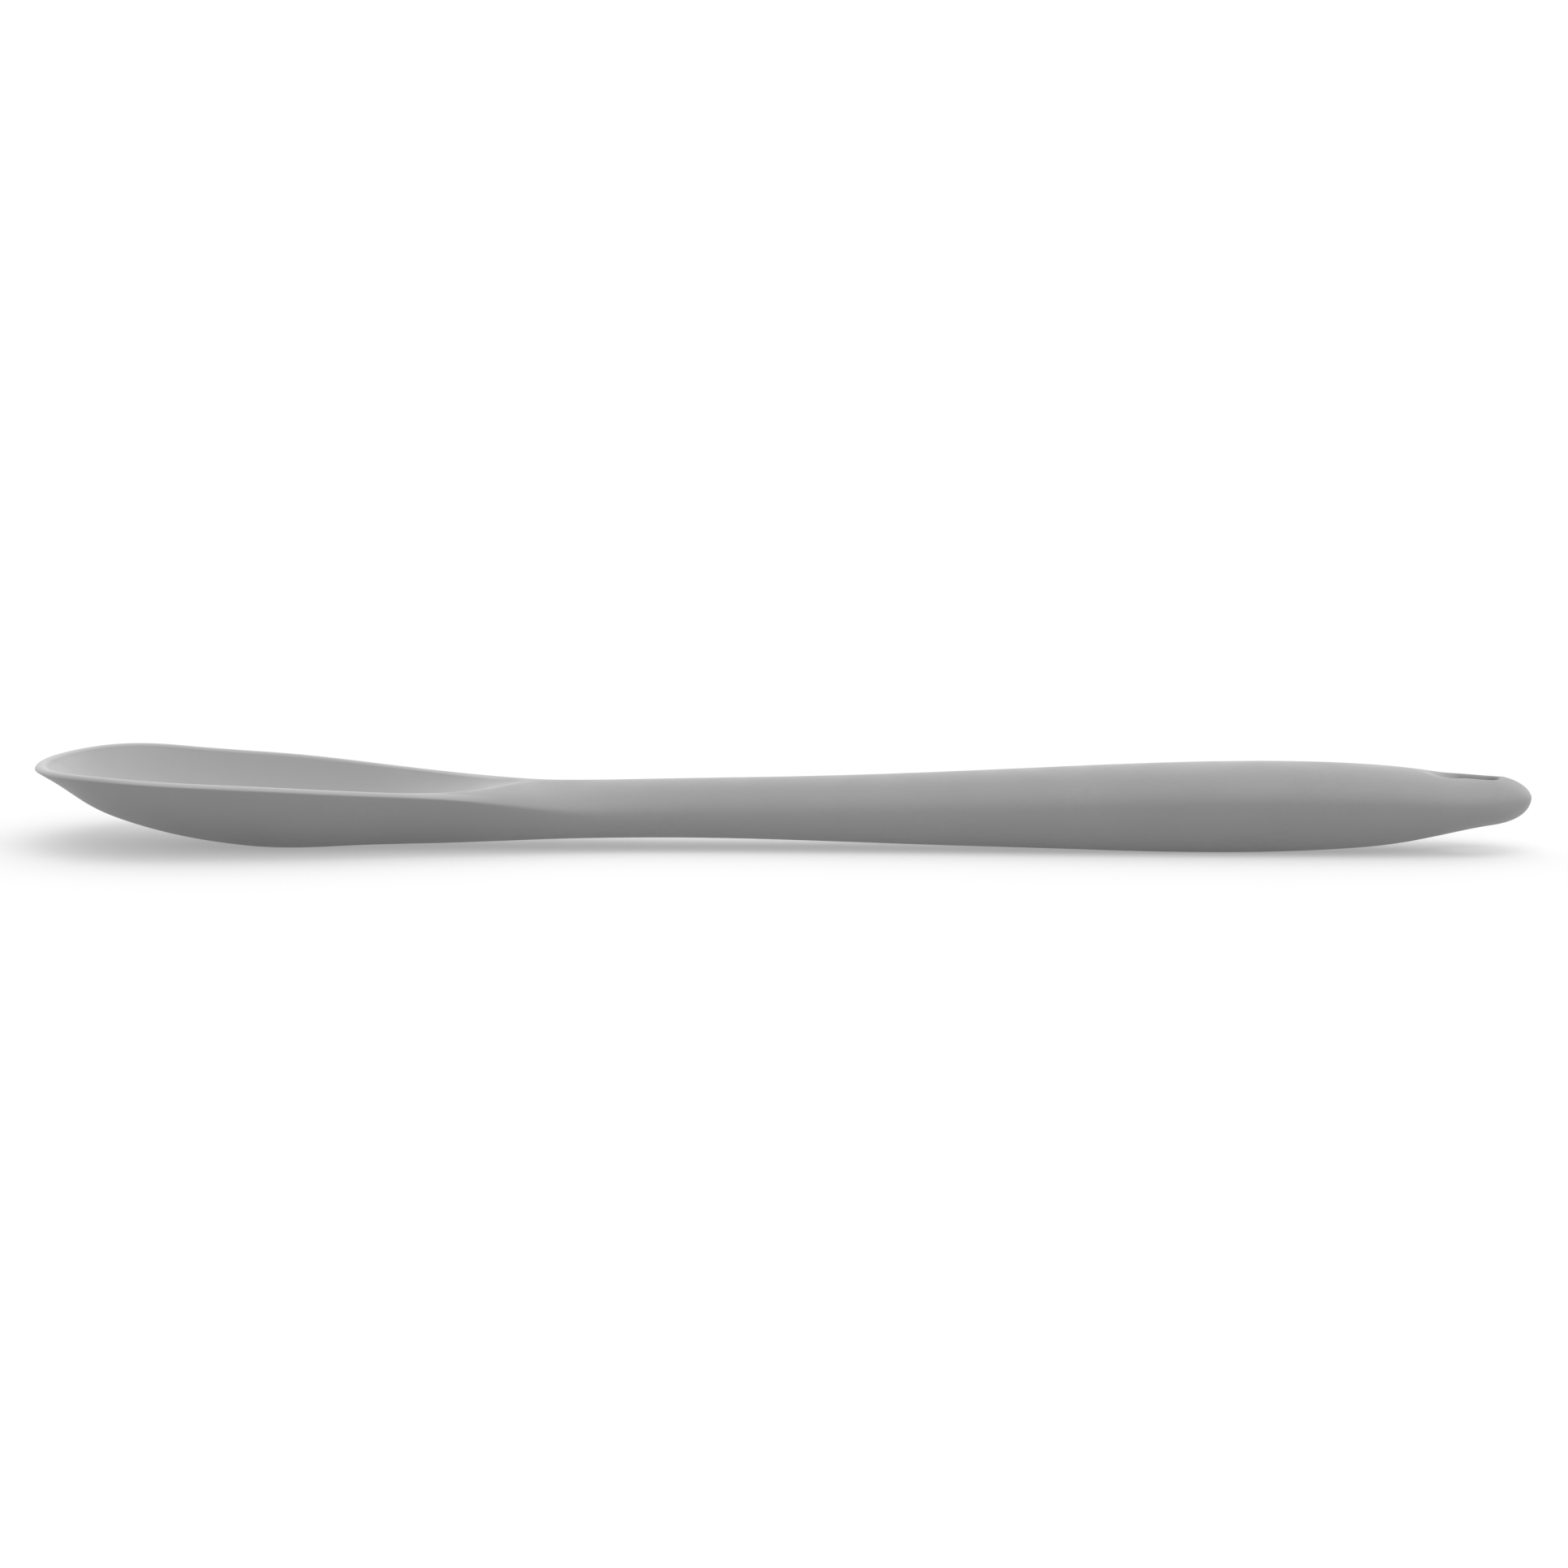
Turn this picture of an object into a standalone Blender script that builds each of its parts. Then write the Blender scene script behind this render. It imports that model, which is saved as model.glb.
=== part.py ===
"""A silicone spoon-spatula: one soft skin moulded over a steel stiffener and a two-piece nylon handle core.

+Z is up and Z = 0 is the surface that it rests on. X runs along it, with the bowl's tip at -X and the hang hole
at +X. Dimensions below are in millimetres, and each mesh is written in metres.
"""

import math

import bmesh
import bpy
import numpy as np

MM = 0.001
GAP = 0.3

# Overall
TIP_X = -140.0
TAIL_X = 140.0
END_INSET = 0.04
RING_POINTS = 40

# Plan of the skin: a half-width along X, closed by a superellipse at each end
HALF_WIDTH = ((-140, 24.9), (-117, 24.9), (-104, 23.9), (-94, 22.9), (-84, 21.1), (-71, 17.6), (-60, 15.2),
              (-49, 13.0), (-37, 10.7), (-22, 9.3), (0, 9.0), (40, 10.0), (85, 11.6), (118, 10.6), (140, 9.4))
FRONT_ROUND = (-117.0, 23.0, 2.0)
TAIL_ROUND = (118.0, 22.0, 2.3)

# Side view of the skin: the widest line, the crest above it and the keel below it
CREASE = ((-140, 14.4), (-127, 15.0), (-112, 14.25), (-94, 13.2), (-84, 12.5), (-71, 11.5), (-60, 10.6),
          (-49, 9.0), (-37, 7.45), (-22, 7.0), (0, 7.2), (42, 8.25), (83, 9.8), (106, 9.8), (128, 9.4),
          (134, 9.5), (140, 10.45))
CREST = ((-140, 15.2), (-127, 15.8), (-112, 14.95), (-94, 13.95), (-71, 12.25), (-60, 11.85), (-49, 12.2),
         (-36, 12.35), (-20, 12.7), (5, 13.3), (42, 14.85), (82, 16.5), (104, 16.4), (115, 15.7), (126, 14.6),
         (140, 14.7))
KEEL = ((-140, 14.4), (-134.6, 11.25), (-130, 8.0), (-122, 4.4), (-113, 1.9), (-104, 0.35), (-94, -0.45),
        (-81, 0.0), (-63, 0.55), (-45, 1.4), (-25, 1.9), (0, 1.6), (25, 0.85), (50, 0.25), (80, -0.3),
        (104, 0.5), (115, 1.65), (124, 3.5), (133, 5.2), (140, 5.6))
TAIL_NOSE = (132.0, 8.0, 2.1)

# The underside's section, (1 - across^power)^fullness: an even slope under the bowl, a full round on the handle
BOWL_UNDER = (2.0, 0.85)
HANDLE_UNDER = (2.4, 0.5)
UNDER_START_X = -72.0
UNDER_END_X = -22.0

# The shoulder between widest line and crest grows from a thin lip on the bowl to the whole handle
LIP_SHARE = 0.045
SHOULDER_START_X = -76.0
SHOULDER_END_X = -42.0

# A power under 2 makes the neck fall off evenly to both sides, where the rest of the handle is round
NECK_POWER = 1.4
NECK_START_X = -68.0
NECK_X = -48.0
NECK_END_X = -22.0

# Bowl
RIM = 1.6
BOWL_FLOOR = ((-138.4, 15.3), (-134.6, 13.4), (-130, 10.7), (-122, 7.5), (-113, 5.5), (-104, 4.4), (-95, 4.0),
              (-84, 4.6), (-72, 6.7), (-60, 9.6), (-54, 11.25), (-49.5, 12.1))
BOWL_BACK = (-72.0, 22.5, 1.7)
BOWL_POWER = 2.4

# Hang hole: a slot with its length along X
HOLE_X = 129.4
HOLE_HALF_LENGTH = 4.2
HOLE_HALF_WIDTH = 2.2
HOLE_LINING = 1.9
HOLE_CUT = (-5.0, 25.0)
HOLE_POINTS = 24
LOCATOR_RADIUS = 1.2

# Steel stiffener: a bent strip, wide in the bowl and narrow in neck and handle
STEEL_THICKNESS = 0.9
STEEL_HALF_WIDTH = ((-114, 4.0), (-104, 6.1), (-92, 6.9), (-78, 6.7), (-62, 5.6), (-48, 4.6), (-36, 4.0),
                    (75, 4.0))
STEEL_HEIGHT = ((-114, 4.1), (-104, 2.75), (-94, 2.3), (-84, 2.7), (-72, 3.95), (-60, 5.5), (-50, 6.6),
                (-38, 7.6), (-25, 8.2), (0, 8.2), (75, 8.2))
PADDLE_HOLES_X = (-106.0, -94.0, -82.0)
PADDLE_HOLE_RADIUS = 2.2
STRIP_CUT = 3.0
STEEL_STATIONS = 38

# Handle core: two nylon halves, meeting on a split surface, with a web at each peg
SKIN_WALL = 2.2
CORE_START_X = -20.0
CORE_END_X = 137.2
CORE_END_INSET = 0.4
SPLIT = ((-20, 8.2), (75, 8.2), (105, 8.7), (137.2, 9.9))
CORE_FRONT_ROUND = (-8.0, 12.0, 2.2)
CORE_TAIL_ROUND = (117.0, 20.2, 2.3)
CORE_TAIL_NOSE = (129.0, 8.2, 2.0)
PEG_X = (33.0, 68.0, 114.0)
PEG_RADIUS = 1.5
PEG_RISE = 2.9
PEG_ROOT = 1.9
POCKETS = ((40.0, 61.0), (76.0, 107.0))
POCKET_WALL = 2.0
CORE_POINTS = 24
POCKET_POINTS = 16


def curve_through(points):
    """The value along X of a natural cubic spline through (x, value) points."""
    xs = np.array([x for x, _ in points], float)
    values = np.array([value for _, value in points], float)
    gaps = np.diff(xs)
    slopes = np.diff(values) / gaps
    matrix = np.eye(len(xs))
    right = np.zeros(len(xs))
    for i in range(1, len(xs) - 1):
        matrix[i, i - 1:i + 2] = gaps[i - 1], 2 * (gaps[i - 1] + gaps[i]), gaps[i]
        right[i] = 6 * (slopes[i] - slopes[i - 1])
    bends = np.linalg.solve(matrix, right)

    def value_at(x):
        i = int(np.clip(np.searchsorted(xs, x) - 1, 0, len(gaps) - 1))
        after = (x - xs[i]) / gaps[i]
        before = 1 - after
        bend = (before ** 3 - before) * bends[i] + (after ** 3 - after) * bends[i + 1]
        return before * values[i] + after * values[i + 1] + bend * gaps[i] ** 2 / 6

    return value_at


base_width = curve_through(HALF_WIDTH)
crease = curve_through(CREASE)
crest_line = curve_through(CREST)
keel_line = curve_through(KEEL)
floor_line = curve_through(BOWL_FLOOR)
split = curve_through(SPLIT)
steel_half_width = curve_through(STEEL_HALF_WIDTH)
steel_height = curve_through(STEEL_HEIGHT)


def rounding(distance, end):
    """A factor that is 1 up to an end's start and falls to 0 along a superellipse over its length."""
    start, length, power = end
    share = min(max((distance - start) / length, 0.0), 1.0)
    return (1 - share ** power) ** (1 / power)


def front_rounding(x, inset=0.0):
    start, length, power = FRONT_ROUND
    return rounding(-x, (-start, length - inset, power))


def half_width(x):
    return base_width(x) * front_rounding(x) * rounding(x, TAIL_ROUND)


def crest(x):
    return crease(x) + (crest_line(x) - crease(x)) * rounding(x, TAIL_NOSE)


def keel(x):
    return crease(x) - (crease(x) - keel_line(x)) * rounding(x, TAIL_NOSE)


def edge_distance(x, y):
    """How far a point of the plan is from the outline."""
    width = base_width(x)
    across = abs(y) / width
    start, length, power = FRONT_ROUND
    along = max((start - x) / length, 0.0)
    if along == 0.0:
        return (1 - across / rounding(x, TAIL_ROUND)) * half_width(x)
    reach = (across ** power + along ** power) ** (1 / power)
    slope_across = (across / reach) ** (power - 1) / width
    slope_along = (along / reach) ** (power - 1) / length
    return (1 - reach) / math.hypot(slope_across, slope_along)


def smooth_share(value, start, end):
    """0 before start and 1 after end, with a smooth step between them."""
    share = min(max((value - start) / (end - start), 0.0), 1.0)
    return share * share * (3 - 2 * share)


def shoulder_share(x):
    """The shoulder's width as a share of the half-width."""
    return LIP_SHARE + (1 - LIP_SHARE) * smooth_share(x, SHOULDER_START_X, SHOULDER_END_X) ** 1.6


def shoulder_power(x):
    """2 for a round shoulder, less where the neck falls off evenly to both sides."""
    neck = smooth_share(x, NECK_START_X, NECK_X) * (1 - smooth_share(x, NECK_X, NECK_END_X))
    return 2 - (2 - NECK_POWER) * neck


def deck(x, y):
    """The top of the skin before the bowl is hollowed out of it."""
    short = 1 - min(max(edge_distance(x, y), 0.0) / (base_width(x) * shoulder_share(x)), 1.0)
    return crease(x) + (crest(x) - crease(x)) * math.sqrt(1 - short ** shoulder_power(x))


def bowl_half_width(x):
    return (base_width(x) - RIM) * front_rounding(x, RIM) * rounding(x, BOWL_BACK)


def top(x, y):
    width = bowl_half_width(x)
    if width <= abs(y):
        return deck(x, y)
    inside = floor_line(x) + (crest(x) - floor_line(x)) * (abs(y) / width) ** BOWL_POWER
    return min(deck(x, y), inside)


def bottom(x, y):
    """The underside, levelled where it would reach below the surface that it rests on."""
    across = min(abs(y) / half_width(x), 1.0)
    share = smooth_share(x, UNDER_START_X, UNDER_END_X)
    power, fullness = (a + (b - a) * share for a, b in zip(BOWL_UNDER, HANDLE_UNDER))
    drop = (crease(x) - keel(x)) * (1 - across ** power) ** fullness
    return max(crease(x) - drop, 0.0)


def new_object(name, mesh, collection, material=None):
    if material:
        mesh.materials.append(material)
    mesh.shade_smooth()
    mesh.set_sharp_from_angle(angle=math.radians(35))
    made = bpy.data.objects.new(name, mesh)
    collection.objects.link(made)
    return made


def mesh_from(name, shape):
    bmesh.ops.recalc_face_normals(shape, faces=shape.faces)
    bmesh.ops.scale(shape, vec=(MM, MM, MM), verts=shape.verts)
    mesh = bpy.data.meshes.new(name)
    shape.to_mesh(mesh)
    shape.free()
    return mesh


def loft(name, rings):
    """A closed skin over rings of equally many points, with a flat face on each end."""
    shape = bmesh.new()
    rows = [[shape.verts.new(point) for point in ring] for ring in rings]
    for row, after in zip(rows, rows[1:]):
        for i, corner in enumerate(row):
            j = (i + 1) % len(row)
            shape.faces.new((corner, row[j], after[j], after[i]))
    shape.faces.new(rows[0])
    shape.faces.new(rows[-1])
    return mesh_from(name, shape)


def stations(*stretches):
    """X along several stretches (start, end, steps), whose shared ends count once."""
    found = [stretches[0][0]]
    for start, end, steps in stretches:
        found += [start + (end - start) * (i + 1) / steps for i in range(steps)]
    return found


def end_stations(centre, end, steps):
    """X from a round end's centre out to its end, closer together towards the end."""
    return [centre + (end - centre) * math.sin(math.pi / 2 * i / steps) for i in range(1, steps + 1)]


def turns_of(count, shift=0.0):
    """Angles that divide a full turn, in radians."""
    return [2 * math.pi * (i + shift) / count for i in range(count)]


def skin_mesh():
    front = end_stations(FRONT_ROUND[0], TIP_X, 9)[::-1]
    middle = stations((FRONT_ROUND[0], -76.0, 10), (-76.0, -36.0, 12), (-36.0, TAIL_ROUND[0], 18))
    tail = end_stations(TAIL_ROUND[0], TAIL_X, 9)
    rings = []
    for place in front + middle + tail:
        x = min(max(place, TIP_X + END_INSET), TAIL_X - END_INSET)
        ring = []
        for turn in turns_of(RING_POINTS):
            y = half_width(x) * math.cos(turn)
            ring.append((place, y, top(x, y) if math.sin(turn) > 0 else bottom(x, y)))
        rings.append(ring)
    return loft("silicone_skin", rings)


def core_round(x, end, margin, toward=1):
    """The rounding of one end of the handle core, its length grown by a margin."""
    start, length, power = end
    return rounding(toward * x, (toward * start, length + margin, power))


def core_ring(x, inset, turns, lift=0.0):
    """Points of the handle core's outline at X, drawn in from the skin's outside by the inset."""
    margin = SKIN_WALL + GAP - inset
    front = core_round(x, CORE_FRONT_ROUND, margin, -1)
    nose = front * core_round(x, CORE_TAIL_NOSE, margin)
    width = (base_width(x) - inset) * front * core_round(x, CORE_TAIL_ROUND, margin)
    rise = (crest_line(x) - inset - split(x)) * nose
    fall = (split(x) - keel_line(x) - inset) * nose
    return [
        (x, width * math.cos(turn), split(x) + lift + (rise if math.sin(turn) > 0 else fall) * math.sin(turn))
        for turn in turns
    ]


def core_rings(inset, turns, lift=0.0):
    """The core's outlines, with the last one at each end taken just inside it, where it still has a width."""
    margin = SKIN_WALL + GAP - inset
    low, high = CORE_START_X - margin, CORE_END_X + margin
    places = end_stations(CORE_FRONT_ROUND[0], low, 4)[::-1]
    places += stations((CORE_FRONT_ROUND[0], CORE_TAIL_ROUND[0], 11))
    places += end_stations(CORE_TAIL_ROUND[0], high, 5)
    rings = []
    for place in places:
        x = min(max(place, low + CORE_END_INSET), high - CORE_END_INSET)
        rings.append([(place, y, z) for _, y, z in core_ring(x, inset, turns, lift)])
    return rings


def core_cavity_mesh():
    return loft("core_cavity", core_rings(SKIN_WALL, turns_of(CORE_POINTS)))


def core_half_mesh(name, side):
    turns = [side * turn for turn in turns_of(CORE_POINTS)[:CORE_POINTS // 2 + 1]]
    return loft(name, core_rings(SKIN_WALL + GAP, turns, side * GAP / 2))


def pocket_mesh(name, start, end):
    inset = SKIN_WALL + GAP + POCKET_WALL
    return loft(name, [core_ring(x, inset, turns_of(POCKET_POINTS)) for x in stations((start, end, 4))])


def slot_mesh(name, grow):
    """An upright prism of the hang hole's outline, grown outwards, running past both faces of the skin."""
    radius = HOLE_HALF_WIDTH + grow
    reach = HOLE_HALF_LENGTH - HOLE_HALF_WIDTH
    outline = []
    for turn in turns_of(HOLE_POINTS, 0.5):
        side = math.copysign(reach, math.cos(turn))
        outline.append((HOLE_X + side + radius * math.cos(turn), radius * math.sin(turn)))
    return loft(name, [[(x, y, z) for x, y in outline] for z in HOLE_CUT])


def strip_mesh(name, grow):
    """The stiffener's middle surface: a grid bent to its height and cut to its width."""
    start, end = STEEL_HEIGHT[0][0] - grow, STEEL_HEIGHT[-1][0] + grow
    shape = bmesh.new()
    bmesh.ops.create_grid(shape, x_segments=STEEL_STATIONS, y_segments=4, size=1.0)
    for vertex in shape.verts:
        x = start + (end - start) * (vertex.co.x + 1) / 2
        inner = min(max(x, STEEL_HEIGHT[0][0]), STEEL_HEIGHT[-1][0])
        vertex.co = (x, vertex.co.y * (steel_half_width(inner) + grow), steel_height(inner))
    bmesh.ops.scale(shape, vec=(MM, MM, MM), verts=shape.verts)
    mesh = bpy.data.meshes.new(name)
    shape.to_mesh(mesh)
    shape.free()
    return mesh


def cylinder_mesh(name, radius, start, end, segments=20):
    """A cylinder between two points that differ along X or along Z."""
    shape = bmesh.new()
    length = max(abs(b - a) for a, b in zip(start, end))
    bmesh.ops.create_cone(
        shape, cap_ends=True, segments=segments, radius1=radius, radius2=radius, depth=length)
    if start[0] != end[0]:
        for vertex in shape.verts:
            vertex.co = (vertex.co.z, vertex.co.y, vertex.co.x)
    for vertex in shape.verts:
        for axis in range(3):
            vertex.co[axis] += (start[axis] + end[axis]) / 2
    return mesh_from(name, shape)


def box_mesh(name, low, high):
    shape = bmesh.new()
    bmesh.ops.create_cube(shape, size=1.0)
    for vertex in shape.verts:
        vertex.co = [a + (b - a) * (c + 0.5) for a, b, c in zip(low, high, vertex.co)]
    return mesh_from(name, shape)


def cutter(name, mesh):
    made = new_object(name, mesh, cutters)
    made.hide_render = True
    made.display_type = "WIRE"
    return made


def boolean(target, tool, operation="DIFFERENCE"):
    step = target.modifiers.new(tool.name, "BOOLEAN")
    step.operation = operation
    step.object = tool


def thicken(target, thickness):
    step = target.modifiers.new("thickness", "SOLIDIFY")
    step.thickness = thickness * MM
    step.offset = 0.0


def principled(name, colour, roughness, metallic=0.0):
    material = bpy.data.materials.new(name)
    material.use_nodes = True
    shader = material.node_tree.nodes["Principled BSDF"]
    shader.inputs["Base Color"].default_value = (*colour, 1.0)
    shader.inputs["Roughness"].default_value = roughness
    shader.inputs["Metallic"].default_value = metallic
    return material


def cut_strip(strip, name, radius, places):
    """Round cuts through a bent strip at each X."""
    for i, x in enumerate(places):
        low, high = steel_height(x) - STRIP_CUT, steel_height(x) + STRIP_CUT
        tool = f"{name}_{i}"
        boolean(strip, cutter(tool, cylinder_mesh(tool, radius, (x, 0, low), (x, 0, high))))


def make_steel_stiffener():
    steel = principled("stainless_steel", (0.55, 0.55, 0.54), 0.32, 1.0)
    strip = new_object("steel_stiffener", strip_mesh("steel_stiffener", 0.0), parts, steel)
    thicken(strip, STEEL_THICKNESS)
    cut_strip(strip, "paddle_hole", PADDLE_HOLE_RADIUS, PADDLE_HOLES_X)
    cut_strip(strip, "tang_hole", PEG_RADIUS + GAP, PEG_X[:2])


def make_steel_cavity():
    """The room for the stiffener in the skin, crossed by a silicone bridge through each hole of its paddle."""
    room = cutter("steel_cavity", strip_mesh("steel_cavity", GAP))
    thicken(room, STEEL_THICKNESS + 2 * GAP)
    cut_strip(room, "bridge", PADDLE_HOLE_RADIUS - GAP, PADDLE_HOLES_X)
    return room


def make_core():
    nylon = principled("glass_filled_nylon", (0.045, 0.045, 0.047), 0.6)
    tang_end = STEEL_HEIGHT[-1][0] + GAP
    tang_room = GAP + STEEL_THICKNESS / 2
    tang_side = STEEL_HALF_WIDTH[-1][1] + GAP
    channel = cutter("tang_channel", box_mesh(
        "tang_channel",
        (CORE_START_X - 2, -tang_side, STEEL_HEIGHT[-1][1] - tang_room),
        (tang_end, tang_side, STEEL_HEIGHT[-1][1] + tang_room)))
    eye = cutter("core_eye", slot_mesh("core_eye", HOLE_LINING + GAP))
    pockets = [
        cutter(f"core_pocket_{i}", pocket_mesh(f"core_pocket_{i}", *ends)) for i, ends in enumerate(POCKETS)
    ]
    for name, side in (("core_lower", -1), ("core_upper", 1)):
        half = new_object(name, core_half_mesh(name, side), parts, nylon)
        for tool in (channel, eye, *pockets):
            boolean(half, tool)
        for i, x in enumerate(PEG_X):
            low, high = split(x) - PEG_ROOT, split(x) + PEG_RISE
            if side < 0:
                mesh = cylinder_mesh(f"peg_{i}", PEG_RADIUS, (x, 0, low), (x, 0, high))
                boolean(half, cutter(f"peg_{i}", mesh), "UNION")
            else:
                mesh = cylinder_mesh(f"socket_{i}", PEG_RADIUS + GAP, (x, 0, low), (x, 0, high + GAP))
                boolean(half, cutter(f"socket_{i}", mesh))


def make_skin():
    silicone = principled("grey_silicone", (0.315, 0.312, 0.305), 0.55)
    skin = new_object("silicone_skin", skin_mesh(), parts, silicone)
    cavity = cutter("core_cavity", core_cavity_mesh())
    boolean(cavity, cutter("hole_lining", slot_mesh("hole_lining", HOLE_LINING)))
    boolean(skin, cavity)
    boolean(skin, make_steel_cavity())
    boolean(skin, cutter("hang_hole", slot_mesh("hang_hole", 0.0)))
    hole_front = HOLE_X - HOLE_HALF_LENGTH
    boolean(skin, cutter("locator_hole", cylinder_mesh(
        "locator_hole", LOCATOR_RADIUS, (hole_front - HOLE_LINING - 1, 0, split(hole_front)),
        (hole_front + 1, 0, split(hole_front)))))


for old in list(bpy.data.objects):
    bpy.data.objects.remove(old)
parts = bpy.data.collections.new("spoon_spatula")
cutters = bpy.data.collections.new("spoon_spatula_cutters")
for group in (parts, cutters):
    bpy.context.scene.collection.children.link(group)
make_steel_stiffener()
make_core()
make_skin()
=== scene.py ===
import math
from functools import lru_cache

import bmesh
import bpy
import numpy as np
from mathutils import Matrix, Vector


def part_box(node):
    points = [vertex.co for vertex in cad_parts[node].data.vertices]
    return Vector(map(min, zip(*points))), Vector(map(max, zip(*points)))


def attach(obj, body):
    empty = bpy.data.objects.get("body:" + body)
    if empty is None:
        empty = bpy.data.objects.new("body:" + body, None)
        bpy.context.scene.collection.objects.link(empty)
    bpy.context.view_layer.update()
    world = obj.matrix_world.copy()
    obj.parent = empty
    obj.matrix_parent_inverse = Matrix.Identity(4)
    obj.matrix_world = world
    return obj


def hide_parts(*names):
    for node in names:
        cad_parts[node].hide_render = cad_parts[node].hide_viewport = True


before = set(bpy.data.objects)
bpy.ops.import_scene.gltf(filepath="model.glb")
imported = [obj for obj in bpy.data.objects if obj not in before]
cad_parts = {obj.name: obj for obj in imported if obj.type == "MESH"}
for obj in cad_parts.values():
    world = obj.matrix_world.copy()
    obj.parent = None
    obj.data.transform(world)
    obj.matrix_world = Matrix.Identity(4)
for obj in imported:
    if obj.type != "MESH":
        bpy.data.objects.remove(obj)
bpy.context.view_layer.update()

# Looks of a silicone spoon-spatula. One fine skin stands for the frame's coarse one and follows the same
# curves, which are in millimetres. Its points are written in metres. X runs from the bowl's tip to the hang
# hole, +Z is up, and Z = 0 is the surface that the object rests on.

MM = 0.001
TINY = 1e-6
SKIN_LOW, SKIN_HIGH = (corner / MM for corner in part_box("silicone_skin"))
TIP_X = SKIN_LOW.x
TAIL_X = SKIN_HIGH.x

# Plan of the skin: a half-width along X, closed at each end by a superellipse (start, length, power)
HALF_WIDTH = ((-140, 24.9), (-117, 24.9), (-104, 23.9), (-94, 22.9), (-84, 21.1), (-71, 17.6), (-60, 15.2),
              (-49, 13.0), (-37, 10.7), (-22, 9.3), (0, 9.0), (40, 10.0), (85, 11.6), (118, 10.6), (140, 9.4))
FRONT_START_X = -117.0
TAIL_START_X = 118.0
FRONT_ROUND = (FRONT_START_X, FRONT_START_X - TIP_X, 2.0)
TAIL_ROUND = (TAIL_START_X, TAIL_X - TAIL_START_X, 2.3)

# Side view of the skin: the widest line, the crest above it and the keel below it, and the superellipse that
# closes crest and keel at the tail
CREASE = ((-140, 14.4), (-127, 15.0), (-112, 14.25), (-94, 13.2), (-84, 12.5), (-71, 11.5), (-60, 10.6),
          (-49, 9.0), (-37, 7.45), (-22, 7.0), (0, 7.2), (42, 8.25), (83, 9.8), (106, 9.8), (128, 9.4),
          (134, 9.5), (140, 10.45))
CREST = ((-140, 15.2), (-127, 15.8), (-112, 14.95), (-94, 13.95), (-71, 12.25), (-60, 11.85), (-49, 12.2),
         (-36, 12.35), (-20, 12.7), (5, 13.3), (42, 14.85), (82, 16.5), (104, 16.4), (115, 15.7), (126, 14.6),
         (140, 14.7))
KEEL = ((-140, 14.4), (-134.6, 11.25), (-130, 8.0), (-122, 4.4), (-113, 1.9), (-104, 0.35), (-94, -0.45),
        (-81, 0.0), (-63, 0.55), (-45, 1.4), (-25, 1.9), (0, 1.6), (25, 0.85), (50, 0.25), (80, -0.3),
        (104, 0.5), (115, 1.65), (124, 3.5), (133, 5.2), (140, 5.6))
TAIL_NOSE = (132.0, 8.0, 2.1)

# The underside's section, (1 - across^power)^fullness, as (power, fullness): an even slope under the bowl
# and a full round on the handle
BOWL_UNDER = (2.0, 0.85)
HANDLE_UNDER = (2.4, 0.5)
UNDER_START_X = -72.0
UNDER_END_X = -22.0

# The shoulder between widest line and crest grows from a thin lip on the bowl to the whole handle
LIP_SHARE = 0.045
SHOULDER_START_X = -76.0
SHOULDER_END_X = -42.0
SHOULDER_POWER = 1.6

# The shoulder's section is round, but on the neck a lower power makes it fall off evenly to both sides
ROUND_POWER = 2.0
NECK_POWER = 1.4
NECK_START_X = -68.0
NECK_X = -48.0
NECK_END_X = -22.0

# Bowl: the rim's width, the floor's middle line, the superellipse that closes it behind, its section's power,
# and the rounding of its edge, which is full where the bowl is RIM_FULL_DEPTH deep
RIM = 1.6
BOWL_FLOOR = ((-138.4, 15.3), (-134.6, 13.4), (-130, 10.7), (-122, 7.5), (-113, 5.5), (-104, 4.4), (-95, 4.0),
              (-84, 4.6), (-72, 6.7), (-60, 9.6), (-54, 11.25), (-49.5, 12.1))
BOWL_BACK = (-72.0, 22.5, 1.7)
BOWL_POWER = 2.4
RIM_SOFTNESS = 0.35
RIM_FULL_DEPTH = 1.0

# The thin edge's painted highlight, a lighter tone: on the lip by distance from the outline and height above
# the widest line, on the ridge behind the bowl by distance from the deck, and in part as painted light inside
# the bowl
LIP_FULL = 1.6
LIP_REACH = 2.4
LIP_LOW = -0.2
LIP_HIGH = 0.15
LIP_FADE_X = -70.0
LIP_FADE_END_X = -50.0
LIP_END_X = -40.0
RIDGE_FULL = 0.1
RIDGE_REACH = 0.5
RIDGE_FADE_X = -58.0
RIDGE_FADE_END_X = -49.0
# Painted light inside the bowl: a share of the painted highlight's colour, growing with depth below the deck
BOWL_PAINTED_LIGHT = 0.32
BOWL_PAINTED_LIGHT_DEPTH = 1.0

# Hang hole: a slot with its length along X, its edges rounded, and scooped on the side of the handle
HOLE_X = 129.4
HOLE_HALF_LENGTH = 4.2
HOLE_HALF_WIDTH = 2.2
MOUTH_REACH = 1.0
SCOOP_REACH = 6.5
MOUTH_DROP = 2.0
UNDER_REACH = 1.5
UNDER_DROP = 1.3

# Mesh: sections along X from FRONT_START_X to BODY_END_X, in wider steps after BOWL_STEPS_END_X. The bowl's
# tip is a fan of columns, and the tail has rows round its hole.
BOWL_STEPS_END_X = -36.0
BODY_END_X = 112.0
BOWL_STEP = 0.7
HANDLE_STEP = 1.5
TAIL_STEP = 0.75
RING_POINTS = 192
FRONT_COLUMNS = 110
TAIL_COLUMNS = 44
MOUTH_ROWS = 9
TAIL_ROWS = 18
WALL_ROWS = 8

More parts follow.
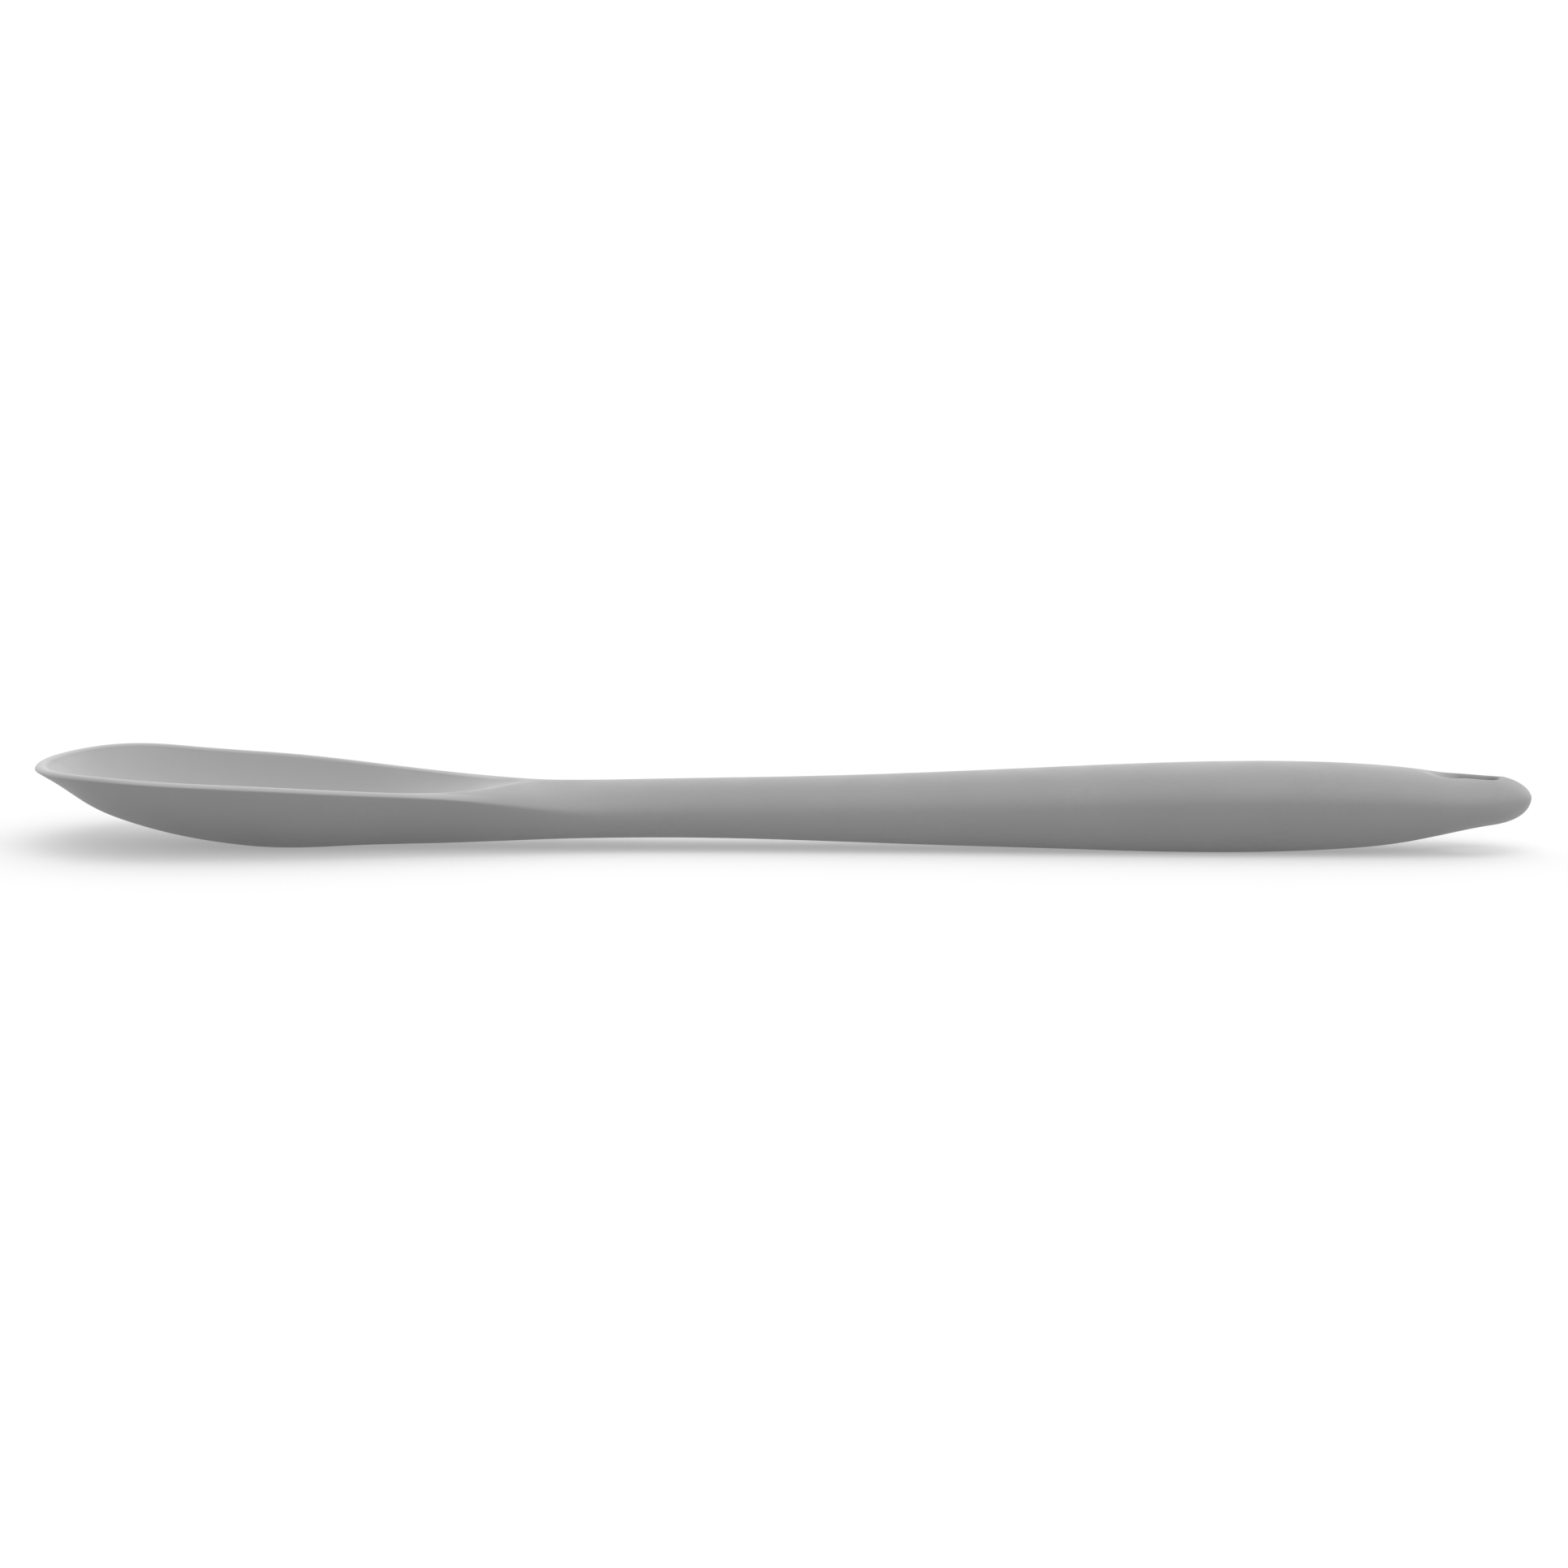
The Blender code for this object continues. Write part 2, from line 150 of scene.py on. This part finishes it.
# Silicone: linear colours, and noise and bump sizes (features per metre, metres)
SILICONE_DARK = (0.2394, 0.2346, 0.236)
SILICONE_LIGHT = (0.2575, 0.252, 0.2538)
SILICONE_SPECK = (0.2485, 0.2433, 0.245)
# Painted highlight colour, for the thin edge and ridge, and in part as painted light inside the bowl
SILICONE_PAINTED_HIGHLIGHT = (0.345, 0.338, 0.341)
SILICONE_ROUGHNESS = (0.46, 0.54)
SILICONE_IOR = 1.42
SHEEN_WEIGHT = 0.06
SHEEN_ROUGHNESS = 0.5
CLOUD_SCALE = 55.0
SPECK_SCALE = 900.0
GLOSS_SCALE = 140.0
GRAIN_SCALE = 4200.0
GRAIN_HEIGHT = 0.00002
RIPPLE_SCALE = 260.0
RIPPLE_HEIGHT = 0.00004

# Nylon core
NYLON_DARK = (0.038, 0.038, 0.040)
NYLON_LIGHT = (0.062, 0.062, 0.064)
NYLON_ROUGHNESS = (0.45, 0.68)
NYLON_FIBRE_SCALE = 1800.0
NYLON_GLOSS_SCALE = 500.0
NYLON_GRAIN_SCALE = 2600.0
NYLON_GRAIN_HEIGHT = 0.00003
NYLON_SINK_SCALE = 150.0
NYLON_SINK_HEIGHT = 0.00008
FIBRE_STRETCH = (0.35, 1.0, 1.0)

# Steel strip
STEEL_LIGHT = (0.56, 0.555, 0.54)
STEEL_DARK = (0.50, 0.495, 0.485)
STEEL_ROUGHNESS = (0.24, 0.42)
STEEL_ANISOTROPY = 0.5
STAIN_SCALE = 90.0
ROLLING_SCALE = 1500.0
ROLLING_HEIGHT = 0.00001
ROLLING_STRETCH = (0.03, 1.0, 1.0)

# The middle stretch of a noise's values, which remap spreads out unless it is told another
NOISE_LOW = 0.35
NOISE_HIGH = 0.65

# Floor: a pale surface with a little light of its own, so that shadows on it stay light
FLOOR_SIZE = 400.0
FLOOR_ALBEDO = 0.47
FLOOR_GLOW = 0.33

# Light: a broad overhead sun, and a white world that is brighter behind the object than in front of it
WHITE = (1.0, 1.0, 1.0, 1.0)
SUN_STRENGTH = 2.2
SUN_ANGLE = math.radians(80.0)
SUN_FROM = Vector((0.2, -0.6, 1.0))
WORLD_FRONT = 0.1
WORLD_BACK = 1.65
WORLD_AXIS = (0.25, 0.968, 0.0)
WORLD_REACH = 0.6

# Camera: a long lens that looks slightly down on the long side
TARGET = Vector((0.0, 0.0, 8.4)) * MM
CAMERA_DISTANCE = 0.95
CAMERA_ELEVATION = math.radians(8.7)
CAMERA_ROLL = math.radians(0.34)
VIEW_WIDTH = 0.2939
FRAME_RISE = 0.00344
SENSOR = 36.0
CLIP_START = 0.05


def curve_through(points):
    """The value along X of a natural cubic spline through (x, value) points."""
    xs = np.array([x for x, _ in points], float)
    values = np.array([value for _, value in points], float)
    gaps = np.diff(xs)
    slopes = np.diff(values) / gaps
    matrix = np.eye(len(xs))
    right = np.zeros(len(xs))
    for i in range(1, len(xs) - 1):
        matrix[i, i - 1:i + 2] = gaps[i - 1], 2 * (gaps[i - 1] + gaps[i]), gaps[i]
        right[i] = 6 * (slopes[i] - slopes[i - 1])
    bends = np.linalg.solve(matrix, right)

    @lru_cache(maxsize=None)
    def value_at(x):
        i = int(np.clip(np.searchsorted(xs, x) - 1, 0, len(gaps) - 1))
        after = (x - xs[i]) / gaps[i]
        before = 1 - after
        bend = (before ** 3 - before) * bends[i] + (after ** 3 - after) * bends[i + 1]
        return before * values[i] + after * values[i + 1] + bend * gaps[i] ** 2 / 6

    return value_at


base_width = curve_through(HALF_WIDTH)
crease = curve_through(CREASE)
crest_line = curve_through(CREST)
keel_line = curve_through(KEEL)
floor_line = curve_through(BOWL_FLOOR)


def rounding(distance, end):
    """A factor that is 1 up to an end's start and falls to 0 along a superellipse over its length."""
    start, length, power = end
    share = min(max((distance - start) / length, 0.0), 1.0)
    return (1 - share ** power) ** (1 / power)


def front_rounding(x, inset=0.0):
    """The rounding of the bowl's tip, or of a line that runs a distance inside it."""
    start, length, power = FRONT_ROUND
    return rounding(-x, (-start, length - inset, power))


def half_width(x):
    return base_width(x) * front_rounding(x) * rounding(x, TAIL_ROUND)


def crest(x):
    return crease(x) + (crest_line(x) - crease(x)) * rounding(x, TAIL_NOSE)


def keel(x):
    return crease(x) - (crease(x) - keel_line(x)) * rounding(x, TAIL_NOSE)


def edge_distance(x, y):
    """How far a point of the plan is from the outline."""
    width = base_width(x)
    across = abs(y) / width
    start, length, power = FRONT_ROUND
    along = max((start - x) / length, 0.0)
    if along == 0.0:
        return half_width(x) - abs(y)
    reach = (across ** power + along ** power) ** (1 / power)
    slope_across = (across / reach) ** (power - 1) / width
    slope_along = (along / reach) ** (power - 1) / length
    return (1 - reach) / math.hypot(slope_across, slope_along)


def smooth_share(value, start, end):
    """0 before start and 1 after end, with a smooth step between them."""
    share = min(max((value - start) / (end - start), 0.0), 1.0)
    return share * share * (3 - 2 * share)


def shoulder_share(x):
    """The shoulder's width as a share of the half-width."""
    grown = smooth_share(x, SHOULDER_START_X, SHOULDER_END_X) ** SHOULDER_POWER
    return LIP_SHARE + (1 - LIP_SHARE) * grown


def shoulder_power(x):
    """The power of the shoulder's section, which is lowest at NECK_X."""
    neck = smooth_share(x, NECK_START_X, NECK_X) * (1 - smooth_share(x, NECK_X, NECK_END_X))
    return ROUND_POWER - (ROUND_POWER - NECK_POWER) * neck


def deck(x, y):
    """The top of the skin before the bowl is hollowed out of it."""
    short = 1 - min(max(edge_distance(x, y), 0.0) / (base_width(x) * shoulder_share(x)), 1.0)
    return crease(x) + (crest(x) - crease(x)) * math.sqrt(1 - short ** shoulder_power(x))


def bowl_half_width(x):
    return (base_width(x) - RIM) * front_rounding(x, RIM) * rounding(x, BOWL_BACK)


def bowl_surface(x, y, width):
    """The hollow's height, where its half-width at X is above 0."""
    return floor_line(x) + (crest(x) - floor_line(x)) * (abs(y) / width) ** BOWL_POWER


def top(x, y):
    """The upper side, with the bowl's edge rounded where it meets the deck."""
    width = bowl_half_width(x)
    height = deck(x, y)
    if width <= 0.0:
        return height
    over = bowl_surface(x, y, width) - height
    softness = RIM_SOFTNESS * min(max(crest(x) - floor_line(x), 0.0), RIM_FULL_DEPTH)
    return height + (over - math.sqrt(over * over + softness * softness)) / 2


def bottom(x, y):
    """The underside, levelled where it would reach below the surface that it rests on."""
    across = min(abs(y) / max(half_width(x), TINY), 1.0)
    share = smooth_share(x, UNDER_START_X, UNDER_END_X)
    power, fullness = (a + (b - a) * share for a, b in zip(BOWL_UNDER, HANDLE_UNDER))
    drop = (crease(x) - keel(x)) * (1 - across ** power) ** fullness
    return max(crease(x) - drop, 0.0)


def stations(*stretches):
    """X along several stretches (start, end, step), whose shared ends count once."""
    found = [stretches[0][0]]
    for start, end, step in stretches:
        steps = round(abs(end - start) / step)
        found += [start + (end - start) * (i + 1) / steps for i in range(steps)]
    return found


class Skin:
    """Collects the skin's points, given in millimetres, and its faces."""

    def __init__(self):
        self.shape = bmesh.new()

    def point(self, x, y, z):
        return self.shape.verts.new((x * MM, y * MM, z * MM))

    def face(self, *corners):
        """A face from its corners, where one that repeats counts once."""
        kept = [corner for i, corner in enumerate(corners) if corner is not corners[i - 1]]
        self.shape.faces.new(kept)

    def strip(self, row, after, closed=False):
        """Faces between two rows of equally many points."""
        for i in range(len(row) - (0 if closed else 1)):
            j = (i + 1) % len(row)
            self.face(row[i], row[j], after[j], after[i])


def ring(skin, x):
    """The skin's section at X: RING_POINTS points, from one side over the top and back underneath."""
    points = []
    for i in range(RING_POINTS):
        turn = 2 * math.pi * i / RING_POINTS
        y = half_width(x) * math.cos(turn)
        points.append(skin.point(x, y, top(x, y) if i <= RING_POINTS // 2 else bottom(x, y)))
    edge = RING_POINTS // 2
    for i, side in ((0, 1), (edge, -1)):
        points[i].co = (x * MM, side * half_width(x) * MM, crease(x) * MM)
    return points


def add_front(skin, first):
    """The bowl's round end as a fan of sections about its centre, which follow the outline."""
    start, length, _ = FRONT_ROUND
    quarter = RING_POINTS // 4
    half = RING_POINTS // 2
    upper = [first[i] for i in range(quarter + 1)]
    lower = [first[-i % RING_POINTS] for i in range(quarter + 1)]
    for column in range(1, FRONT_COLUMNS + 1):
        turn = math.pi * column / FRONT_COLUMNS
        if column == FRONT_COLUMNS:
            next_upper = [first[half - i] for i in range(quarter + 1)]
            next_lower = [first[half + i] for i in range(quarter + 1)]
        else:
            next_upper, next_lower = [], []
            for i in range(quarter):
                reach = math.cos(math.pi / 2 * i / quarter)
                x = start - length * reach * math.sin(turn)
                y = base_width(x) * reach * math.cos(turn)
                if i == 0:
                    edge = skin.point(x, y, crease(x))
                    next_upper.append(edge)
                    next_lower.append(edge)
                else:
                    next_upper.append(skin.point(x, y, top(x, y)))
                    next_lower.append(skin.point(x, y, bottom(x, y)))
            next_upper.append(first[quarter])
            next_lower.append(first[-quarter])
        skin.strip(upper, next_upper)
        skin.strip(next_lower, lower)
        upper, lower = next_upper, next_lower


def tail_outline():
    """The plan outline round the tail, from the -Y side to the +Y side, without its two ends."""
    start, length, power = TAIL_ROUND
    straight = stations((BODY_END_X, start, TAIL_STEP))[1:]
    points = [(x, -half_width(x)) for x in straight]
    for i in range(1, 2 * TAIL_COLUMNS):
        turn = math.pi / 2 * i / TAIL_COLUMNS
        x = start + length * math.sin(turn) ** (2 / power)
        side = -abs(math.cos(turn)) ** (2 / power) * (1 if i < TAIL_COLUMNS else -1)
        points.append((x, side * base_width(x)))
    return points + [(x, half_width(x)) for x in reversed(straight)]


def hole_spoke(x, y):
    """(core point, direction out, distance) from the slot's middle line to a point of the outline."""
    reach = HOLE_HALF_LENGTH - HOLE_HALF_WIDTH
    core = Vector((min(max(x, HOLE_X - reach), HOLE_X + reach), 0.0))
    outward = Vector((x, y)) - core
    return core, outward.normalized(), outward.length


def mouth_fall(turn, slope):
    """The share of the mouth's drop, 1 at the wall and 0 at its reach: a round edge, or a long slope."""
    return (1 - math.sin(turn)) * (1 - slope) + smooth_share(math.cos(turn), 0.0, 1.0) * slope


def add_tail_side(skin, outline, height, drop, reach, scoop_reach):
    """One face of the tail, from its outline to the hang hole, and the row of points at the hole."""
    rows = [outline]
    spokes = []
    for corner in outline:
        x, y = corner.co.x / MM, corner.co.y / MM
        core, outward, distance = hole_spoke(x, y)
        inward = max(-outward.x, 0.0) ** 2
        spoke_reach = reach + (scoop_reach - reach) * inward
        slope = (1 - reach / scoop_reach) * inward
        spokes.append((core, outward, distance - HOLE_HALF_WIDTH, spoke_reach, slope))
    for i in range(TAIL_ROWS - 1, -1, -1):
        row = []
        for core, outward, length, reach, _ in spokes:
            away = reach + (length - reach) * math.sin(math.pi / 2 * i / TAIL_ROWS)
            place = core + outward * (HOLE_HALF_WIDTH + away)
            row.append(skin.point(place.x, place.y, height(place.x, place.y)))
        rows.append(row)
    for i in range(MOUTH_ROWS - 1, -1, -1):
        turn = math.pi / 2 * i / MOUTH_ROWS
        row = []
        for core, outward, _, reach, slope in spokes:
            place = core + outward * (HOLE_HALF_WIDTH + reach * (1 - math.cos(turn)))
            fall = drop * mouth_fall(turn, slope)
            row.append(skin.point(place.x, place.y, height(place.x, place.y) - fall))
        rows.append(row)
    for row, after in zip(rows, rows[1:]):
        skin.strip(row, after, closed=True)
    return rows[-1]


def add_tail(skin, last):
    """The tail round its hang hole."""
    half = RING_POINTS // 2
    rim = [skin.point(x, y, crease(x)) for x, y in tail_outline()]
    upper = last[:half + 1] + rim
    lower = [last[0]] + last[:half - 1:-1] + rim
    above = add_tail_side(skin, upper, top, MOUTH_DROP, MOUTH_REACH, SCOOP_REACH)
    below = add_tail_side(skin, lower, bottom, -UNDER_DROP, UNDER_REACH, UNDER_REACH)
    row = above
    for i in range(1, WALL_ROWS + 1):
        share = i / WALL_ROWS
        after = below
        if i < WALL_ROWS:
            after = []
            for a, b in zip(above, below):
                after.append(skin.shape.verts.new(a.co.lerp(b.co, share)))
        skin.strip(row, after, closed=True)
        row = after


def painted_highlight_share(x, y, z, upper):
    """How much painted highlight a point has: 1 on the thin edge and ridge, the bowl's smaller share of
    painted light in the bowl, 0 elsewhere.
    """
    if x > LIP_END_X:
        return 0.0
    inside = max(edge_distance(x, y), 0.0)
    rim = 1 - smooth_share(inside, LIP_FULL, LIP_REACH)
    rim *= smooth_share(z, crease(x) + LIP_LOW, crease(x) + LIP_HIGH)
    rim *= 1 - smooth_share(x, LIP_FADE_X, LIP_FADE_END_X)
    width = bowl_half_width(x)
    if width <= 0.0 or not upper:
        return rim
    below = deck(x, y) - bowl_surface(x, y, width)
    ridge = 1 - smooth_share(abs(below), RIDGE_FULL, RIDGE_REACH)
    ridge *= 1 - smooth_share(x, RIDGE_FADE_X, RIDGE_FADE_END_X)
    return max(rim, ridge, BOWL_PAINTED_LIGHT * smooth_share(below, 0.0, BOWL_PAINTED_LIGHT_DEPTH))


def paint_highlight(mesh):
    """Stores each point's share of painted highlight, for the silicone's colour."""
    shares = mesh.attributes.new("painted_highlight", "FLOAT", "POINT")
    for point, share in zip(mesh.vertices, shares.data):
        share.value = painted_highlight_share(*(value / MM for value in point.co), point.normal.z > 0.0)


def add_object(name, data):
    """An object with that data, in the scene."""
    made = bpy.data.objects.new(name, data)
    bpy.context.scene.collection.objects.link(made)
    return made


def make_skin(material):
    """The fine skin, which stands for the frame's silicone_skin."""
    skin = Skin()
    bowl = (FRONT_START_X, BOWL_STEPS_END_X, BOWL_STEP)
    places = stations(bowl, (BOWL_STEPS_END_X, BODY_END_X, HANDLE_STEP))
    rings = [ring(skin, x) for x in places]
    for row, after in zip(rings, rings[1:]):
        skin.strip(row, after, closed=True)
    add_front(skin, rings[0])
    add_tail(skin, rings[-1])
    bmesh.ops.recalc_face_normals(skin.shape, faces=skin.shape.faces)
    mesh = bpy.data.meshes.new("silicone_surface")
    skin.shape.to_mesh(mesh)
    skin.shape.free()
    # Stores the painted highlight's share at each point
    paint_highlight(mesh)
    mesh.materials.append(material)
    mesh.shade_smooth()
    piece = add_object("silicone_surface", mesh)
    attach(piece, "root")
    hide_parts("silicone_skin")


def new_material(name):
    """A material, its node tree, and its shader."""
    material = bpy.data.materials.new(name)
    material.use_nodes = True
    return material, material.node_tree, material.node_tree.nodes["Principled BSDF"]


def noise(tree, scale, detail=3.0, roughness=0.55, stretch=(1.0, 1.0, 1.0)):
    """Noise in the object's own metres: scale is in features per metre."""
    place = tree.nodes.new("ShaderNodeTexCoord")
    mapping = tree.nodes.new("ShaderNodeMapping")
    mapping.inputs["Scale"].default_value = stretch
    texture = tree.nodes.new("ShaderNodeTexNoise")
    texture.inputs["Scale"].default_value = scale
    texture.inputs["Detail"].default_value = detail
    texture.inputs["Roughness"].default_value = roughness
    tree.links.new(place.outputs["Object"], mapping.inputs["Vector"])
    tree.links.new(mapping.outputs["Vector"], texture.inputs["Vector"])
    return texture.outputs["Fac"]


def remap(tree, value, low, high, start=NOISE_LOW, end=NOISE_HIGH):
    """The value, stretched from start..end to low..high."""
    node = tree.nodes.new("ShaderNodeMapRange")
    node.inputs["From Min"].default_value = start
    node.inputs["From Max"].default_value = end
    node.inputs["To Min"].default_value = low
    node.inputs["To Max"].default_value = high
    tree.links.new(value, node.inputs["Value"])
    return node.outputs["Result"]


def blend_colours(tree, factor, first, second):
    """One colour where the factor is 0, the other where it is 1."""
    node = tree.nodes.new("ShaderNodeMix")
    node.data_type = "RGBA"
    tree.links.new(factor, node.inputs["Factor"])
    for name, colour in (("A", first), ("B", second)):
        socket = next(s for s in node.inputs if s.name == name and s.type == "RGBA")
        if isinstance(colour, tuple):
            socket.default_value = (*colour, 1.0)
        else:
            tree.links.new(colour, socket)
    return next(s for s in node.outputs if s.type == "RGBA")


def bump(tree, height, distance, strength=1.0, under=None):
    """A bump of that height in metres, over another one."""
    node = tree.nodes.new("ShaderNodeBump")
    node.inputs["Distance"].default_value = distance
    node.inputs["Strength"].default_value = strength
    tree.links.new(height, node.inputs["Height"])
    if under is not None:
        tree.links.new(under, node.inputs["Normal"])
    return node.outputs["Normal"]


def silicone_material():
    """Matt grey with a faint mottle and grain, and a painted highlight, a lighter tone, where the skin's
    point attribute says.
    """
    material, tree, shader = new_material("matt_grey_silicone")
    cloud = remap(tree, noise(tree, CLOUD_SCALE, detail=4.0), 0.0, 1.0)
    speck = remap(tree, noise(tree, SPECK_SCALE, detail=2.0), 0.0, 1.0)
    tone = blend_colours(tree, cloud, SILICONE_DARK, SILICONE_LIGHT)
    grey = blend_colours(tree, speck, tone, SILICONE_SPECK)
    # Painted highlight: the skin's point attribute blends in a lighter colour on the thin edge and ridge, and
    # painted light in the bowl
    painted_highlight = tree.nodes.new("ShaderNodeAttribute")
    painted_highlight.attribute_name = "painted_highlight"
    edge = remap(tree, painted_highlight.outputs["Fac"], 0.0, 1.0, 0.0, 1.0)
    grey = blend_colours(tree, edge, grey, SILICONE_PAINTED_HIGHLIGHT)
    tree.links.new(grey, shader.inputs["Base Color"])
    gloss = remap(tree, noise(tree, GLOSS_SCALE, detail=4.0), *SILICONE_ROUGHNESS)
    tree.links.new(gloss, shader.inputs["Roughness"])
    grain = bump(tree, noise(tree, GRAIN_SCALE, detail=2.0), GRAIN_HEIGHT, strength=0.35)
    ripple = bump(tree, noise(tree, RIPPLE_SCALE), RIPPLE_HEIGHT, strength=0.4, under=grain)
    tree.links.new(ripple, shader.inputs["Normal"])
    shader.inputs["IOR"].default_value = SILICONE_IOR
    shader.inputs["Sheen Weight"].default_value = SHEEN_WEIGHT
    shader.inputs["Sheen Roughness"].default_value = SHEEN_ROUGHNESS
    return material


def nylon_material():
    """Near-black nylon with fine glass fibres along X."""
    material, tree, shader = new_material("glass_filled_nylon")
    fibres = noise(tree, NYLON_FIBRE_SCALE, detail=4.0, roughness=0.7, stretch=FIBRE_STRETCH)
    fleck = remap(tree, fibres, 0.0, 1.0)
    tree.links.new(blend_colours(tree, fleck, NYLON_DARK, NYLON_LIGHT), shader.inputs["Base Color"])
    gloss = remap(tree, noise(tree, NYLON_GLOSS_SCALE), *NYLON_ROUGHNESS)
    tree.links.new(gloss, shader.inputs["Roughness"])
    grain = bump(tree, noise(tree, NYLON_GRAIN_SCALE), NYLON_GRAIN_HEIGHT, strength=0.5)
    sink = bump(tree, noise(tree, NYLON_SINK_SCALE), NYLON_SINK_HEIGHT, strength=0.4, under=grain)
    tree.links.new(sink, shader.inputs["Normal"])
    return material


def steel_material():
    """Stainless strip with rolling lines along X."""
    material, tree, shader = new_material("rolled_stainless_steel")
    shader.inputs["Metallic"].default_value = 1.0
    shader.inputs["Anisotropic"].default_value = STEEL_ANISOTROPY
    lines = noise(tree, ROLLING_SCALE, roughness=0.6, stretch=ROLLING_STRETCH)
    stain = remap(tree, noise(tree, STAIN_SCALE, detail=4.0), 0.0, 1.0)
    tree.links.new(blend_colours(tree, stain, STEEL_LIGHT, STEEL_DARK), shader.inputs["Base Color"])
    tree.links.new(remap(tree, lines, *STEEL_ROUGHNESS), shader.inputs["Roughness"])
    tree.links.new(bump(tree, lines, ROLLING_HEIGHT, strength=0.5), shader.inputs["Normal"])
    return material


def dress_frame():
    """Gives the CAD nodes inside the skin their finished materials."""
    nylon = nylon_material()
    finishes = {"core_lower": nylon, "core_upper": nylon, "steel_stiffener": steel_material()}
    for name, material in finishes.items():
        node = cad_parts[name]
        node.data.materials.clear()
        node.data.materials.append(material)


def make_floor():
    material, _, shader = new_material("pale_floor")
    shader.inputs["Base Color"].default_value = (FLOOR_ALBEDO, FLOOR_ALBEDO, FLOOR_ALBEDO, 1.0)
    shader.inputs["Roughness"].default_value = 1.0
    shader.inputs["Specular IOR Level"].default_value = 0.0
    shader.inputs["Emission Color"].default_value = WHITE
    shader.inputs["Emission Strength"].default_value = FLOOR_GLOW
    shape = bmesh.new()
    bmesh.ops.create_grid(shape, x_segments=1, y_segments=1, size=FLOOR_SIZE / 2)
    mesh = bpy.data.meshes.new("floor")
    shape.to_mesh(mesh)
    shape.free()
    mesh.materials.append(material)
    add_object("floor", mesh)


def make_light():
    """The sun, and a world whose light grows along WORLD_AXIS."""
    sun = bpy.data.lights.new("overhead", "SUN")
    sun.energy = SUN_STRENGTH
    sun.angle = SUN_ANGLE
    add_object("overhead", sun).rotation_euler = SUN_FROM.to_track_quat("Z", "Y").to_euler()
    world = bpy.data.worlds.new("studio")
    world.use_nodes = True
    tree = world.node_tree
    direction = tree.nodes.new("ShaderNodeTexCoord")
    along = tree.nodes.new("ShaderNodeVectorMath")
    along.operation = "DOT_PRODUCT"
    along.inputs[1].default_value = WORLD_AXIS
    tree.links.new(direction.outputs["Generated"], along.inputs[0])
    glow = remap(tree, along.outputs["Value"], WORLD_FRONT, WORLD_BACK, -WORLD_REACH, WORLD_REACH)
    tree.links.new(glow, tree.nodes["Background"].inputs["Strength"])
    tree.nodes["Background"].inputs["Color"].default_value = WHITE
    bpy.context.scene.world = world
    bpy.context.scene.view_settings.view_transform = "Standard"


def make_camera():
    """Looks along +Y from in front, tipped so that TARGET is FRAME_RISE below the picture's middle."""
    data = bpy.data.cameras.new("camera")
    data.sensor_width = SENSOR
    data.lens = SENSOR * CAMERA_DISTANCE / VIEW_WIDTH
    data.clip_start = CLIP_START
    data.clip_end = 2 * FLOOR_SIZE
    camera = add_object("camera", data)
    back = Vector((0.0, -math.cos(CAMERA_ELEVATION), math.sin(CAMERA_ELEVATION)))
    place = TARGET + back * CAMERA_DISTANCE
    level = Vector((0.0, math.sin(CAMERA_ELEVATION), math.cos(CAMERA_ELEVATION)))
    away = (place - TARGET - level * FRAME_RISE).normalized()
    right = Vector((1.0, 0.0, 0.0))
    up = away.cross(right)
    tilted_right = right * math.cos(CAMERA_ROLL) + up * math.sin(CAMERA_ROLL)
    tilted_up = up * math.cos(CAMERA_ROLL) - right * math.sin(CAMERA_ROLL)
    turned = Matrix((tilted_right, tilted_up, away)).transposed().to_4x4()
    camera.matrix_world = Matrix.Translation(place) @ turned
    bpy.context.scene.camera = camera


make_camera()
make_light()
make_floor()
make_skin(silicone_material())
dress_frame()
